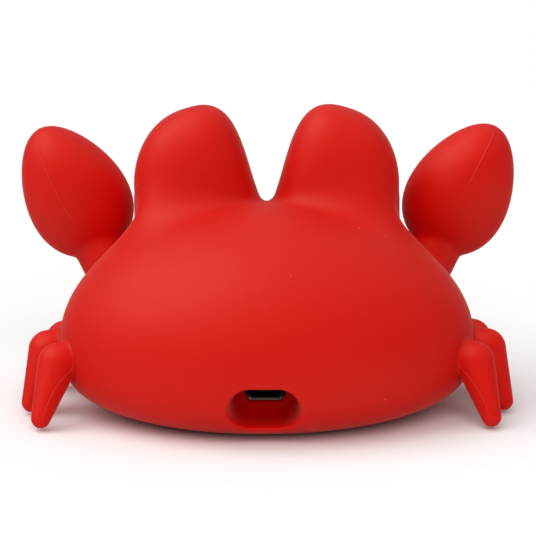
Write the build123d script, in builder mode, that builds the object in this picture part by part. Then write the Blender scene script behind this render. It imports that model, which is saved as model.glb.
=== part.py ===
from build123d import *
from math import asin, cos, sin
import os

os.makedirs("parts", exist_ok=True)

# A rechargeable night light: a soft silicone crab that stands on a small lamp module.
# Millimetres, Z up, table at Z = 0. The crab faces -Y and its charging pocket opens to +Y.

# Body of the silicone skin: a flattened dome on a rolled base
BODY_WIDTH = 83.4
BODY_DEPTH = 64.0
BODY_HEIGHT = 41.9
WIDEST_HEIGHT = 14.3
BASE_WIDTH = 47.0
BASE_TRIM = 0.15
SKIN_WALL = 3.2

# Eyes: two tall ovoids that lean together
EYE_GAP = 6.2
EYE_WIDTH = 24.0
EYE_DEPTH = 20.5
EYE_LENGTH = 33.4
EYE_TOP = 60.9
EYE_FORWARD = 11.5
EYE_LEAN = 8.5
EYE_VALLEY = 1.4

# Claws: eggs on short arms, blunt end down
CLAW_SPACING = 78.4
CLAW_WIDTH = 20.9
CLAW_DEPTH = 18.0
CLAW_LENGTH = 29.2
CLAW_BLUNT_LENGTH = 13.1
CLAW_HEIGHT = 39.3
CLAW_FORWARD = 20.0
CLAW_LEAN = 28.0
CLAW_BLEND = 1.0
ARM_DIAMETER = 8.8
ARM_BLEND = 1.0
ARM_ROOT = (28.4, -14.0, 17.0)
ARM_END = (36.2, -19.6, 31.6)

# Legs: root, knee and toe of the three legs on the +X side
LEG_ROOT_DIAMETER = 7.8
KNEE_DIAMETER = 8.0
TOE_DIAMETER = 3.5
REAR_LEG = ((34.0, 7.0, 13.2), (41.2, 11.0, 12.3), (44.6, 16.2, 2.3))
MIDDLE_LEG = ((36.5, -1.5, 13.2), (43.9, 0.8, 12.2), (47.3, 4.4, 2.3))
FRONT_LEG = ((34.0, -9.0, 13.2), (41.5, -11.4, 11.2), (44.5, -15.8, 2.3))

# Charging pocket at the back of the skin
POCKET_WIDTH = 14.2
POCKET_HEIGHT = 9.1
POCKET_DROP = 0.4
POCKET_WALL = 2.4
POCKET_BACK_WALL = 1.2
POCKET_RIM = 0.9
POCKET_CORNER = 2.2
SOCKET_SLOT_MARGIN = 0.4

# Lamp module: racetrack plan, gripped by the skin's lip
MODULE_WIDTH = 34.0
HOUSING_WALL = 1.6
LIP_GRIP = 3.8
LIP_THICKNESS = 2.0
SOFT_CLEARANCE = 0.3
FIT_CLEARANCE = 0.1
LEDGE_THICKNESS = 1.3
EDGE_ROUNDING = 0.5

# Base cover and its screws
COVER_INSET = 1.5
COVER_THICKNESS = 1.4
COVER_RECESS = 0.6
COVER_RIB = 1.0
COVER_HOLE_PLAY = 0.1
SCREW_END_INSET = 9.4
SCREW_SIDE_INSET = 9.8
SCREW_BOSS_DIAMETER = 4.4
SCREW_DIAMETER = 1.7
SCREW_HEAD_DIAMETER = 3.4
SCREW_HEAD_HEIGHT = 0.8
COVER_SCREW_LENGTH = 4.2
BOARD_SCREW_LENGTH = 5.0
SCREW_PLAY = 0.05
SCREW_TIP_ROOM = 0.4
SCREW_RECESS = 0.4

# Boards
BOARD_THICKNESS = 1.2
BOARD_PLAY = 0.3
BOARD_EDGE = 0.8
COLUMN_GAP = 0.5
COLUMN_DIAMETER = 5.2
COLUMN_WEB = 2.0
PEG_END_INSET = 8.3
PEG_SIDE_INSET = 6.65
PEG_DIAMETER = 1.6
PEG_HEIGHT = 2.0
PEG_PLAY = 0.1

# Charging socket, the standard five-contact small size, wide side up
SOCKET_WIDTH = 7.5
SOCKET_LOWER_WIDTH = 5.6
SOCKET_HEIGHT = 2.5
SOCKET_DEPTH = 5.6
SOCKET_METAL = 0.3
SOCKET_CORNER = 0.4
SOCKET_OVERHANG = 1.0
SOCKET_NOTCH_MARGIN = 0.4
TONGUE_WIDTH = 4.4
TONGUE_THICKNESS = 0.6
TONGUE_SETBACK = 1.0
TONGUE_BLOCK = 1.4
TONGUE_RISE = 0.25
CONTACT_COUNT = 5
CONTACT_PITCH = 0.65
CONTACT_WIDTH = 0.35
CONTACT_THICKNESS = 0.12
CONTACT_LENGTH = 2.6

# Slide switch under the control board
SWITCH_LENGTH = 8.6
SWITCH_WIDTH = 3.6
SWITCH_HEIGHT = 3.5
SWITCH_METAL = 0.3
SWITCH_FORWARD = 8.0
SWITCH_TRAVEL = 2.0
SWITCH_PLAY = 0.15
SWITCH_BASE_THICKNESS = 1.0
LEVER_WIDTH = 1.7
LEVER_DEPTH = 1.5
LEVER_RECESS = 0.3
LEVER_GAP = 0.35
SWITCH_DISH_MARGIN = 1.6
SWITCH_DISH_DEPTH = 0.6
SWITCH_DISH_SLOPE = 30
LEVER_ROUNDING = 0.25

# Parts on the control board
CONTROL_CHIP_LENGTH = 4.9
CONTROL_CHIP_WIDTH = 3.9
CONTROL_CHIP_HEIGHT = 1.5
CONTROL_CHIP_LEAD_COUNT = 4
CHARGING_CHIP_LENGTH = 2.9
CHARGING_CHIP_WIDTH = 1.6
CHARGING_CHIP_HEIGHT = 1.1
CHARGING_CHIP_LEAD_COUNT = 3
CHIP_GAP = 2.05
CHIP_LEAD = 0.4
CHIP_LEAD_REACH = 1.0
CHIP_LEAD_SHOULDER = 0.3
CHIP_LEAD_THICKNESS = 0.2
CHIP_STANDOFF = 0.1
PASSIVE_LENGTH = 2.0
PASSIVE_WIDTH = 1.25
PASSIVE_HEIGHT = 0.6
PASSIVE_CAP = 0.4
PASSIVE_CAP_PROUD = 0.05
PASSIVE_COUNT = 5
PASSIVE_PITCH = 3.2
PASSIVE_FORWARD = 12.0
LINK_PIN = 0.64
LINK_COUNT = 3
LINK_PITCH = 2.54
LINK_STRIP_WIDTH = 2.5
LINK_STRIP_HEIGHT = 2.5
LINK_PIN_TAIL = 0.8
LINK_HOLE = 1.1
LINK_CHAMFER = 0.15
LINK_BATTERY_INSET = 6.5
LINK_BACK = 9.4

# Battery
BATTERY_LENGTH = 29.0
BATTERY_WIDTH = 17.0
BATTERY_THICKNESS = 6.0
BATTERY_FORWARD = 1.2
BATTERY_ROUNDING = 1.5
BATTERY_CAP = 2.5
BATTERY_CAP_STEP = 0.5
PAD_END_ROOM = 7.5
PAD_SIDE_ROOM = 2.5
PAD_THICKNESS = 2.3
PAD_CORNER = 1.0
BATTERY_HEADROOM = 1.2
LEAD_DIAMETER = 0.8
LEAD_BEND = 1.8
LEAD_REACH = 2.4
LEAD_PITCH = 1.6
LEAD_BACK = 4.6

# Lights and their dome
LED_SIZE = 5.0
LED_HEIGHT = 1.6
LED_LENS_DIAMETER = 3.8
LED_LENS_DEPTH = 0.4
LED_MARK = 0.8
LED_PITCH_X = 10.0
LED_PITCH_Y = 9.0
LED_COLUMN_COUNT = 3
LED_ROW_COUNT = 2
DOME_TOP = 33.0
DOME_WALL = 1.4
DOME_ROUNDING = 11.0
DOME_FLANGE = 1.4
SKIRT_HEIGHT = 2.4
BEAD_LIFT = 0.7
BEAD_HEIGHT = 0.8
BEAD_PROUD = 0.25

# Heights that follow from the stack, from the table up
COVER_TOP = COVER_RECESS + COVER_THICKNESS
LIP_BOTTOM = COVER_TOP + SOFT_CLEARANCE
LIP_TOP = LIP_BOTTOM + LIP_THICKNESS
SHOULDER = LIP_TOP + SOFT_CLEARANCE
LEDGE_TOP = SHOULDER + LEDGE_THICKNESS
BOARD_TOP = LEDGE_TOP + BOARD_THICKNESS
SOCKET_CENTRE = BOARD_TOP + SOCKET_HEIGHT / 2
BATTERY_BOTTOM = BOARD_TOP + PAD_THICKNESS
BATTERY_TOP = BATTERY_BOTTOM + BATTERY_THICKNESS
LED_BOARD_BOTTOM = BATTERY_TOP + BATTERY_HEADROOM
LED_BOARD_TOP = LED_BOARD_BOTTOM + BOARD_THICKNESS
HOUSING_TOP = LED_BOARD_TOP + SKIRT_HEIGHT
BEAD_BOTTOM = LED_BOARD_TOP + BEAD_LIFT
SWITCH_BOTTOM = LEDGE_TOP - SWITCH_HEIGHT

# Plan sizes that follow from the battery and the pieces round it
PAD_LENGTH = BATTERY_LENGTH - 2 * PAD_END_ROOM
PAD_WIDTH = BATTERY_WIDTH - 2 * PAD_SIDE_ROOM
COLUMN_SPACING = BATTERY_LENGTH + 2 * COLUMN_GAP + COLUMN_DIAMETER
BOARD_LENGTH = COLUMN_SPACING + SCREW_HEAD_DIAMETER + 2 * BOARD_EDGE
MODULE_LENGTH = BOARD_LENGTH + 2 * (BOARD_PLAY + HOUSING_WALL)
CONTROL_CHIP_X = -(PAD_LENGTH + CONTROL_CHIP_LENGTH) / 2 - CHIP_GAP
CHARGING_CHIP_X = (PAD_LENGTH + CHARGING_CHIP_LENGTH) / 2 + CHIP_GAP
LINK_PLACE = (LINK_BATTERY_INSET - BATTERY_LENGTH / 2, LINK_BACK)

# Plan sizes that follow from the module
SCREW_SPACING_X = MODULE_LENGTH - 2 * SCREW_END_INSET
SCREW_SPACING_Y = MODULE_WIDTH - 2 * SCREW_SIDE_INSET
PEG_SPACING = MODULE_LENGTH - 2 * PEG_END_INSET
PEG_OFFSET = MODULE_WIDTH - 2 * PEG_SIDE_INSET
HOUSING_REAR = MODULE_WIDTH / 2
POCKET_INNER_FACE = HOUSING_REAR + SOFT_CLEARANCE
POCKET_FLOOR = POCKET_INNER_FACE + POCKET_BACK_WALL
POCKET_CENTRE = SOCKET_CENTRE - POCKET_DROP
SOCKET_MOUTH = HOUSING_REAR + SOCKET_OVERHANG
SOCKET_REAR_END = SOCKET_MOUTH - SOCKET_DEPTH
BATTERY_Y = -BATTERY_FORWARD
SWITCH_Y = -SWITCH_FORWARD
NECK_INSET = LIP_GRIP + HOUSING_WALL
BOARD_INSET = HOUSING_WALL + BOARD_PLAY
DOME_INSET = HOUSING_WALL + FIT_CLEARANCE
LEVER_SLOT_LENGTH = LEVER_WIDTH + SWITCH_TRAVEL + 2 * LEVER_GAP
LEVER_SLOT_WIDTH = LEVER_DEPTH + 2 * LEVER_GAP
PILOT_RADIUS = SCREW_DIAMETER / 2 + SCREW_PLAY

# Eyes: their spacing and the blend at their foot follow from the gap between them
EYE_SPACING = EYE_WIDTH + EYE_GAP
EYE_BLEND = (EYE_GAP - EYE_VALLEY) / 2

# A quarter of a turn in degrees
QUARTER = 90

# Ways to stand a form on a height or hang it from one
STAND = (Align.CENTER, Align.CENTER, Align.MIN)
HANG = (Align.CENTER, Align.CENTER, Align.MAX)

# Half section through the crab's front, where no limb crosses the seam of a turned face
FRONT_HALF = Plane((0, 0, 0), x_dir=(0, -1, 0), z_dir=(-1, 0, 0))


def racetrack(inset, bottom, top):
    """A block of the module's plan, a bar with half-round ends, drawn in from its edge by inset."""
    with BuildPart() as block:
        with BuildSketch(Plane.XY.offset(bottom)):
            SlotOverall(MODULE_LENGTH - 2 * inset, MODULE_WIDTH - 2 * inset)
        extrude(amount=top - bottom)
    return block.part


def crowned(inset, bottom, top, rounding):
    """A racetrack block rounded over at its top."""
    with BuildPart() as block:
        add(racetrack(inset, bottom, top))
        fillet(block.edges().group_by(Axis.Z)[-1], rounding)
    return block.part


def dome(half_width, half_depth, base_half, top, floor):
    """The body's solid: flat base, rolled edge up to the widest line, elliptical dome above it."""
    lowest = floor - BASE_TRIM
    roll_width = half_width - base_half
    roll_height = WIDEST_HEIGHT - lowest
    with BuildPart() as solid:
        with BuildSketch(FRONT_HALF):
            with BuildLine():
                EllipticalCenterArc((base_half, WIDEST_HEIGHT), roll_width, roll_height, -QUARTER, arc_size=QUARTER)
                EllipticalCenterArc((0, WIDEST_HEIGHT), half_width, top - WIDEST_HEIGHT, 0, arc_size=QUARTER)
                Polyline((0, top), (0, lowest), (base_half, lowest))
            make_face()
        revolve(axis=Axis.Z)
        scale(by=(1, half_depth / half_width, 1))
        split(bisect_by=Plane.XY.offset(floor), keep=Keep.TOP)
    return solid.part


def ovoid(width, depth, length_up, length_down):
    """An egg on the Z axis whose widest section lies at its origin."""
    with BuildPart() as egg:
        with BuildSketch(Plane.XZ):
            with BuildLine():
                EllipticalCenterArc((0, 0), width / 2, length_down, -QUARTER, arc_size=QUARTER)
                EllipticalCenterArc((0, 0), width / 2, length_up, 0, arc_size=QUARTER)
                Line((0, length_up), (0, -length_down))
            make_face()
        revolve(axis=Axis.Z)
        scale(by=(1, depth / width, 1))
    return egg.part


def eye_pair(wall):
    """Both eyes, drawn in by a wall thickness, in place on the body."""
    half_length = EYE_LENGTH / 2
    eye = ovoid(EYE_WIDTH - 2 * wall, EYE_DEPTH - 2 * wall, half_length - wall, half_length - wall)
    centre_height = EYE_TOP - half_length
    pair = []
    for side in (-1, 1):
        place = Location((side * EYE_SPACING / 2, -EYE_FORWARD, centre_height), (0, -side * EYE_LEAN, 0))
        pair.append(eye.moved(place))
    return pair


def claw_and_arm():
    """The claw of the +X side with its arm, whose root ends inside the body."""
    root = Vector(*ARM_ROOT)
    end = Vector(*ARM_END)
    with BuildPart() as limb:
        egg = ovoid(CLAW_WIDTH, CLAW_DEPTH, CLAW_LENGTH - CLAW_BLUNT_LENGTH, CLAW_BLUNT_LENGTH)
        add(egg.moved(Location((CLAW_SPACING / 2, -CLAW_FORWARD, CLAW_HEIGHT), (0, CLAW_LEAN, 0))))
        with BuildSketch(Plane(root, x_dir=(1, 0, 0), z_dir=end - root)):
            Circle(ARM_DIAMETER / 2)
        extrude(amount=(end - root).length)
        fillet(limb.edges(Select.NEW), CLAW_BLEND)
    return limb.part


def leg(points):
    """A bent leg: a round root, then a taper from the knee to the toe, both with ball ends."""
    root, knee, toe = [Vector(*point) for point in points]
    shin = toe - knee
    knee_radius = KNEE_DIAMETER / 2
    toe_radius = TOE_DIAMETER / 2
    slope = asin((knee_radius - toe_radius) / shin.length)
    knee_edge = Vector(knee_radius * cos(slope), knee_radius * sin(slope))
    toe_edge = Vector(toe_radius * cos(slope), shin.length + toe_radius * sin(slope))
    across = shin.cross(Vector(0, 0, 1))
    with BuildPart() as limb:
        with BuildSketch(Plane(knee, x_dir=across, z_dir=across.cross(shin))):
            with BuildLine():
                RadiusArc((0, -knee_radius), knee_edge, -knee_radius)
                Line(knee_edge, toe_edge)
                RadiusArc(toe_edge, (0, shin.length + toe_radius), -toe_radius)
                Line((0, shin.length + toe_radius), (0, -knee_radius))
            make_face()
        revolve(axis=Axis(knee, shin))
        with BuildSketch(Plane(root, x_dir=(0, 1, 0), z_dir=knee - root)):
            Circle(LEG_ROOT_DIAMETER / 2)
        extrude(amount=(knee - root).length)
    return limb.part


def both_sides(limb):
    """A limb and its mirror image on the other side of the crab."""
    return [limb, mirror(limb, Plane.YZ)]


def socket_outline(inset):
    """The socket's mouth on the plane it is drawn on: square top, sloping lower sides."""
    half_width = SOCKET_WIDTH / 2 - inset
    lower_half = SOCKET_LOWER_WIDTH / 2 - inset
    half_height = SOCKET_HEIGHT / 2 - inset
    with BuildSketch() as outline:
        with BuildLine():
            Polyline(
                (-half_width, half_height),
                (half_width, half_height),
                (half_width, 0),
                (lower_half, -half_height),
                (-lower_half, -half_height),
                (-half_width, 0),
                close=True,
            )
        make_face()
        fillet(outline.vertices(), SOCKET_CORNER)
    return outline.sketch


def chip(length, width, height, leads_per_side):
    """A moulded chip with bent leads along its two long sides, its feet on Z = 0."""
    bend = width / 2 + CHIP_LEAD_SHOULDER
    foot = width / 2 + CHIP_LEAD_REACH
    middle = height / 2
    with BuildPart() as lead:
        with BuildSketch(Plane.YZ):
            with BuildLine():
                Polyline(
                    (0, middle + CHIP_LEAD_THICKNESS),
                    (bend + CHIP_LEAD_THICKNESS, middle + CHIP_LEAD_THICKNESS),
                    (bend + CHIP_LEAD_THICKNESS, CHIP_LEAD_THICKNESS),
                    (foot, CHIP_LEAD_THICKNESS),
                    (foot, 0),
                    (bend, 0),
                    (bend, middle),
                    (0, middle),
                    close=True,
                )
            make_face()
        extrude(amount=CHIP_LEAD / 2, both=True)
        mirror(about=Plane.XZ)
    with BuildPart() as package:
        with Locations((0, 0, CHIP_STANDOFF)):
            Box(length, width, height - CHIP_STANDOFF, align=STAND)
        chamfer(package.faces().sort_by(Axis.Z)[-1].edges(), CHIP_LEAD_THICKNESS)
        with GridLocations(length / leads_per_side, 0, leads_per_side, 1):
            add(lead.part)
    return package.part


def screw(length):
    """A countersunk screw on the Z axis, its head's flat face at Z = 0 and its point up."""
    with BuildPart() as fastener:
        Cylinder(SCREW_DIAMETER / 2, length, align=STAND)
        chamfer(fastener.edges().sort_by(Axis.Z)[-1], SCREW_DIAMETER / 5)
        Cone(SCREW_HEAD_DIAMETER / 2, SCREW_DIAMETER / 2, SCREW_HEAD_HEIGHT, align=STAND)
        with BuildSketch():
            Rectangle(SCREW_HEAD_DIAMETER / 2, SCREW_HEAD_DIAMETER / 8)
            Rectangle(SCREW_HEAD_DIAMETER / 8, SCREW_HEAD_DIAMETER / 2)
        extrude(amount=SCREW_RECESS, mode=Mode.SUBTRACT)
    return fastener.part


def screw_hole(depth):
    """The space that a countersunk screw needs in the plate it holds, its head's face at Z = 0."""
    with BuildPart() as space:
        Cylinder(PILOT_RADIUS, depth, align=STAND)
        Cone(SCREW_HEAD_DIAMETER / 2, SCREW_DIAMETER / 2, SCREW_HEAD_HEIGHT, align=STAND)
    return space.part


def link_holes(bottom):
    """Round holes for the link pins through the board that lies on a height."""
    with BuildPart() as holes:
        with BuildSketch(Plane.XY.offset(bottom)):
            with Locations(LINK_PLACE):
                with GridLocations(LINK_PITCH, 0, LINK_COUNT, 1):
                    Circle(LINK_HOLE / 2)
        extrude(amount=BOARD_THICKNESS)
    return holes.part


def battery_lead(across):
    """An insulated wire from the battery's end, bent down to the control board."""
    height = BATTERY_BOTTOM + BATTERY_THICKNESS / 2
    start = Vector(BATTERY_LENGTH / 2, across, height)
    corner = Vector(BATTERY_LENGTH / 2 + LEAD_REACH, across, height)
    end = Vector(BATTERY_LENGTH / 2 + LEAD_REACH, across, BOARD_TOP)
    with BuildPart() as lead:
        with BuildLine():
            FilletPolyline(start, corner, end, radius=LEAD_BEND)
        with BuildSketch(Plane(start, x_dir=(0, 1, 0), z_dir=(1, 0, 0))):
            Circle(LEAD_DIAMETER / 2)
        sweep()
    return lead.part


# Hollow of the skin: the body and eyes drawn in by the wall, less a tunnel round the pocket
with BuildPart() as cavity:
    inner_half = BODY_WIDTH / 2 - SKIN_WALL
    inner_depth = BODY_DEPTH / 2 - SKIN_WALL
    add(dome(inner_half, inner_depth, BASE_WIDTH / 2, BODY_HEIGHT - SKIN_WALL, LIP_TOP))
    add(eye_pair(SKIN_WALL))
    with BuildSketch(Plane.XZ.offset(-POCKET_INNER_FACE)):
        with Locations((0, POCKET_CENTRE)):
            SlotOverall(POCKET_WIDTH + 2 * POCKET_WALL, POCKET_HEIGHT + 2 * POCKET_WALL)
    extrude(amount=POCKET_INNER_FACE - BODY_DEPTH / 2, mode=Mode.SUBTRACT)

# Space that the charging plug takes up in the skin, rounded at its floor
with BuildPart() as pocket:
    with BuildSketch(Plane.XZ.offset(-POCKET_FLOOR)):
        with Locations((0, POCKET_CENTRE)):
            SlotOverall(POCKET_WIDTH, POCKET_HEIGHT)
    extrude(amount=POCKET_FLOOR - BODY_DEPTH / 2)
    fillet(pocket.faces().sort_by(Axis.Y)[0].edges(), POCKET_CORNER)

# Silicone skin: body, eyes, claws and legs in one moulding
with BuildPart() as silicone_skin:
    add(dome(BODY_WIDTH / 2, BODY_DEPTH / 2, BASE_WIDTH / 2, BODY_HEIGHT, 0))
    add(eye_pair(0))
    fillet(silicone_skin.edges(Select.NEW), EYE_BLEND)
    add(both_sides(claw_and_arm()))
    fillet(silicone_skin.edges(Select.NEW), ARM_BLEND)
    add([limb for points in (REAR_LEG, MIDDLE_LEG, FRONT_LEG) for limb in both_sides(leg(points))])
    add(cavity.part, mode=Mode.SUBTRACT)
    # seat of the base cover, and the opening that its lip closes round the housing's neck
    add(racetrack(COVER_INSET - SOFT_CLEARANCE, 0, LIP_BOTTOM), mode=Mode.SUBTRACT)
    add(racetrack(LIP_GRIP - SOFT_CLEARANCE, LIP_BOTTOM, LIP_TOP), mode=Mode.SUBTRACT)
    # charging pocket with a rounded floor and rim
    add(pocket.part, mode=Mode.SUBTRACT)
    fillet(silicone_skin.edges(Select.NEW), POCKET_RIM)
    # slot for the socket through the pocket's back wall
    with BuildSketch(Plane.XZ.offset(-POCKET_INNER_FACE)):
        with Locations((0, SOCKET_CENTRE)):
            add(socket_outline(-SOCKET_SLOT_MARGIN))
    extrude(amount=-POCKET_BACK_WALL, mode=Mode.SUBTRACT)

silicone_skin.part.label = "silicone_skin"
export_step(silicone_skin.part, "parts/silicone_skin.step")

# Base housing: a cup with a neck that the skin's lip closes round
with BuildPart() as base_housing:
    add(racetrack(0, SHOULDER, HOUSING_TOP))
    fillet(base_housing.edges().group_by(Axis.Z)[0], EDGE_ROUNDING)
    add(racetrack(LIP_GRIP, COVER_TOP, SHOULDER))
    add(racetrack(HOUSING_WALL, LEDGE_TOP, HOUSING_TOP), mode=Mode.SUBTRACT)
    add(racetrack(NECK_INSET, COVER_TOP, LEDGE_TOP), mode=Mode.SUBTRACT)
    # bosses for the cover's screws, in the neck
    with BuildSketch(Plane.XY.offset(COVER_TOP)):
        with GridLocations(SCREW_SPACING_X, SCREW_SPACING_Y, 2, 2):
            Circle(SCREW_BOSS_DIAMETER / 2)
    extrude(amount=LEDGE_TOP - COVER_TOP)
    with BuildSketch(Plane.XY.offset(COVER_TOP)):
        with GridLocations(SCREW_SPACING_X, SCREW_SPACING_Y, 2, 2):
            Circle(PILOT_RADIUS)
    extrude(amount=COVER_SCREW_LENGTH - COVER_THICKNESS + SCREW_TIP_ROOM, mode=Mode.SUBTRACT)
    # columns for the light board, each tied to the end wall by a web
    web_length = (MODULE_LENGTH - HOUSING_WALL - COLUMN_SPACING) / 2
    with BuildSketch(Plane.XY.offset(LEDGE_TOP)):
        with GridLocations(COLUMN_SPACING, 0, 2, 1):
            Circle(COLUMN_DIAMETER / 2)
        with GridLocations(COLUMN_SPACING + web_length, 0, 2, 1):
            Rectangle(web_length, COLUMN_WEB)
    extrude(amount=LED_BOARD_BOTTOM - LEDGE_TOP)
    with BuildSketch(Plane.XY.offset(LED_BOARD_BOTTOM)):
        with GridLocations(COLUMN_SPACING, 0, 2, 1):
            Circle(PILOT_RADIUS)
    extrude(amount=BOARD_THICKNESS - BOARD_SCREW_LENGTH - SCREW_TIP_ROOM, mode=Mode.SUBTRACT)
    # pegs that place the control board
    with BuildSketch(Plane.XY.offset(LEDGE_TOP)):
        with Locations((PEG_SPACING / 2, PEG_OFFSET / 2), (-PEG_SPACING / 2, -PEG_OFFSET / 2)):
            Circle(PEG_DIAMETER / 2)
    extrude(amount=PEG_HEIGHT)
    # groove that the light dome snaps into
    groove_inset = HOUSING_WALL - BEAD_PROUD - FIT_CLEARANCE
    groove_top = BEAD_BOTTOM + BEAD_HEIGHT + FIT_CLEARANCE
    add(racetrack(groove_inset, BEAD_BOTTOM - FIT_CLEARANCE, groove_top), mode=Mode.SUBTRACT)
    # notch in the rear wall, open at the top so that the board drops in with its socket
    with BuildSketch(Plane.XZ.offset(-HOUSING_REAR)):
        with Locations((0, BOARD_TOP - FIT_CLEARANCE)):
            notch_height = HOUSING_TOP - BOARD_TOP + FIT_CLEARANCE
            Rectangle(SOCKET_WIDTH + 2 * SOCKET_NOTCH_MARGIN, notch_height, align=(Align.CENTER, Align.MIN))
    extrude(amount=HOUSING_WALL, mode=Mode.SUBTRACT)

base_housing.part.label = "base_housing"
export_step(base_housing.part, "parts/base_housing.step")

# Base cover: the plate under the crab, with a rib inside the neck and a slot for the lever
with BuildPart() as base_cover:
    add(racetrack(COVER_INSET, COVER_RECESS, COVER_TOP))
    fillet(base_cover.edges().group_by(Axis.Z)[0], EDGE_ROUNDING)
    add(racetrack(NECK_INSET + FIT_CLEARANCE, COVER_TOP, COVER_TOP + COVER_RIB))
    add(racetrack(NECK_INSET + FIT_CLEARANCE + COVER_RIB, COVER_TOP, COVER_TOP + COVER_RIB), mode=Mode.SUBTRACT)
    with BuildSketch(Plane.XY.offset(COVER_TOP)):
        with GridLocations(SCREW_SPACING_X, SCREW_SPACING_Y, 2, 2):
            Circle(SCREW_BOSS_DIAMETER / 2 + COVER_HOLE_PLAY)
    extrude(amount=COVER_RIB, mode=Mode.SUBTRACT)
    with Locations((0, 0, COVER_RECESS)):
        with GridLocations(SCREW_SPACING_X, SCREW_SPACING_Y, 2, 2):
            add(screw_hole(COVER_THICKNESS), mode=Mode.SUBTRACT)
    # shallow dish for a fingertip round the lever's slot
    with BuildSketch(Plane.XY.offset(COVER_RECESS)):
        with Locations((0, SWITCH_Y)):
            dish_margin = 2 * SWITCH_DISH_MARGIN
            SlotOverall(LEVER_SLOT_LENGTH + dish_margin, LEVER_SLOT_WIDTH + dish_margin)
    extrude(amount=SWITCH_DISH_DEPTH, taper=SWITCH_DISH_SLOPE, mode=Mode.SUBTRACT)
    with BuildSketch(Plane.XY.offset(COVER_RECESS)):
        with Locations((0, SWITCH_Y)):
            Rectangle(LEVER_SLOT_LENGTH, LEVER_SLOT_WIDTH)
    extrude(amount=COVER_THICKNESS, mode=Mode.SUBTRACT)

base_cover.part.label = "base_cover"
export_step(base_cover.part, "parts/base_cover.step")

# Four screws that hold the cover to the neck
with BuildPart() as cover_screws:
    with Locations((0, 0, COVER_RECESS)):
        with GridLocations(SCREW_SPACING_X, SCREW_SPACING_Y, 2, 2):
            add(screw(COVER_SCREW_LENGTH))

cover_screws.part.label = "cover_screws"
export_step(cover_screws.part, "parts/cover_screws.step")

# Control board on the housing's ledge, notched round the columns
with BuildPart() as control_board:
    add(racetrack(BOARD_INSET, LEDGE_TOP, BOARD_TOP))
    notch_length = MODULE_LENGTH / 2 - COLUMN_SPACING / 2
    with BuildSketch(Plane.XY.offset(LEDGE_TOP)):
        with GridLocations(COLUMN_SPACING, 0, 2, 1):
            Circle(COLUMN_DIAMETER / 2 + BOARD_PLAY)
        with GridLocations(COLUMN_SPACING + notch_length, 0, 2, 1):
            Rectangle(notch_length, COLUMN_DIAMETER + 2 * BOARD_PLAY)
        with Locations((PEG_SPACING / 2, PEG_OFFSET / 2), (-PEG_SPACING / 2, -PEG_OFFSET / 2)):
            Circle(PEG_DIAMETER / 2 + PEG_PLAY)
    extrude(amount=BOARD_THICKNESS, mode=Mode.SUBTRACT)
    add(link_holes(LEDGE_TOP), mode=Mode.SUBTRACT)

control_board.part.label = "control_board"
export_step(control_board.part, "parts/control_board.step")

# Charging socket: folded metal shell, closed at the back and open at its mouth
with BuildPart() as charging_socket_shell:
    with BuildSketch(Plane.XZ.offset(-SOCKET_REAR_END)):
        with Locations((0, SOCKET_CENTRE)):
            add(socket_outline(0))
    extrude(amount=-SOCKET_DEPTH)
    with BuildSketch(Plane.XZ.offset(-SOCKET_MOUTH)):
        with Locations((0, SOCKET_CENTRE)):
            add(socket_outline(SOCKET_METAL))
    extrude(amount=SOCKET_DEPTH - SOCKET_METAL, mode=Mode.SUBTRACT)

charging_socket_shell.part.label = "charging_socket_shell"
export_step(charging_socket_shell.part, "parts/charging_socket_shell.step")

# Socket's tongue on the block that fills the back of the shell
tongue_start = SOCKET_REAR_END + SOCKET_METAL
tongue_end = SOCKET_MOUTH - TONGUE_SETBACK
tongue_height = SOCKET_CENTRE + TONGUE_RISE
with BuildPart() as charging_socket_tongue:
    with BuildSketch(Plane.XZ.offset(-tongue_start)):
        with Locations((0, SOCKET_CENTRE)):
            add(socket_outline(SOCKET_METAL))
    extrude(amount=-TONGUE_BLOCK)
    with BuildSketch(Plane.XZ.offset(-tongue_start)):
        with Locations((0, tongue_height)):
            Rectangle(TONGUE_WIDTH, TONGUE_THICKNESS)
    extrude(amount=tongue_start - tongue_end)
    chamfer(charging_socket_tongue.faces().sort_by(Axis.Y)[-1].edges(), TONGUE_THICKNESS / 4)

charging_socket_tongue.part.label = "charging_socket_tongue"
export_step(charging_socket_tongue.part, "parts/charging_socket_tongue.step")

# Five spring contacts along the tongue's lower face
with BuildPart() as charging_socket_contacts:
    contact_centre = tongue_start + TONGUE_BLOCK + CONTACT_LENGTH / 2
    with Locations((0, contact_centre, tongue_height - TONGUE_THICKNESS / 2)):
        with GridLocations(CONTACT_PITCH, 0, CONTACT_COUNT, 1):
            Box(CONTACT_WIDTH, CONTACT_LENGTH, CONTACT_THICKNESS, align=HANG)

charging_socket_contacts.part.label = "charging_socket_contacts"
export_step(charging_socket_contacts.part, "parts/charging_socket_contacts.step")

# Slide switch: metal can under the control board
can_length = SWITCH_LENGTH - 2 * SWITCH_METAL
can_width = SWITCH_WIDTH - 2 * SWITCH_METAL
with BuildPart() as switch_can:
    with Locations((0, SWITCH_Y, LEDGE_TOP)):
        Box(SWITCH_LENGTH, SWITCH_WIDTH, SWITCH_HEIGHT, align=HANG)
    fillet(switch_can.edges().filter_by(Axis.Z), SWITCH_METAL)
    with Locations((0, SWITCH_Y, LEDGE_TOP)):
        Box(can_length, can_width, SWITCH_HEIGHT - SWITCH_METAL, align=HANG, mode=Mode.SUBTRACT)
        Box(LEVER_SLOT_LENGTH, LEVER_SLOT_WIDTH, SWITCH_HEIGHT, align=HANG, mode=Mode.SUBTRACT)

switch_can.part.label = "switch_can"
export_step(switch_can.part, "parts/switch_can.step")

# Switch's contact plate, which closes the can against the board
with BuildPart() as switch_base:
    with Locations((0, SWITCH_Y, LEDGE_TOP)):
        Box(can_length, can_width, SWITCH_BASE_THICKNESS, align=HANG)

switch_base.part.label = "switch_base"
export_step(switch_base.part, "parts/switch_base.step")

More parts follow.
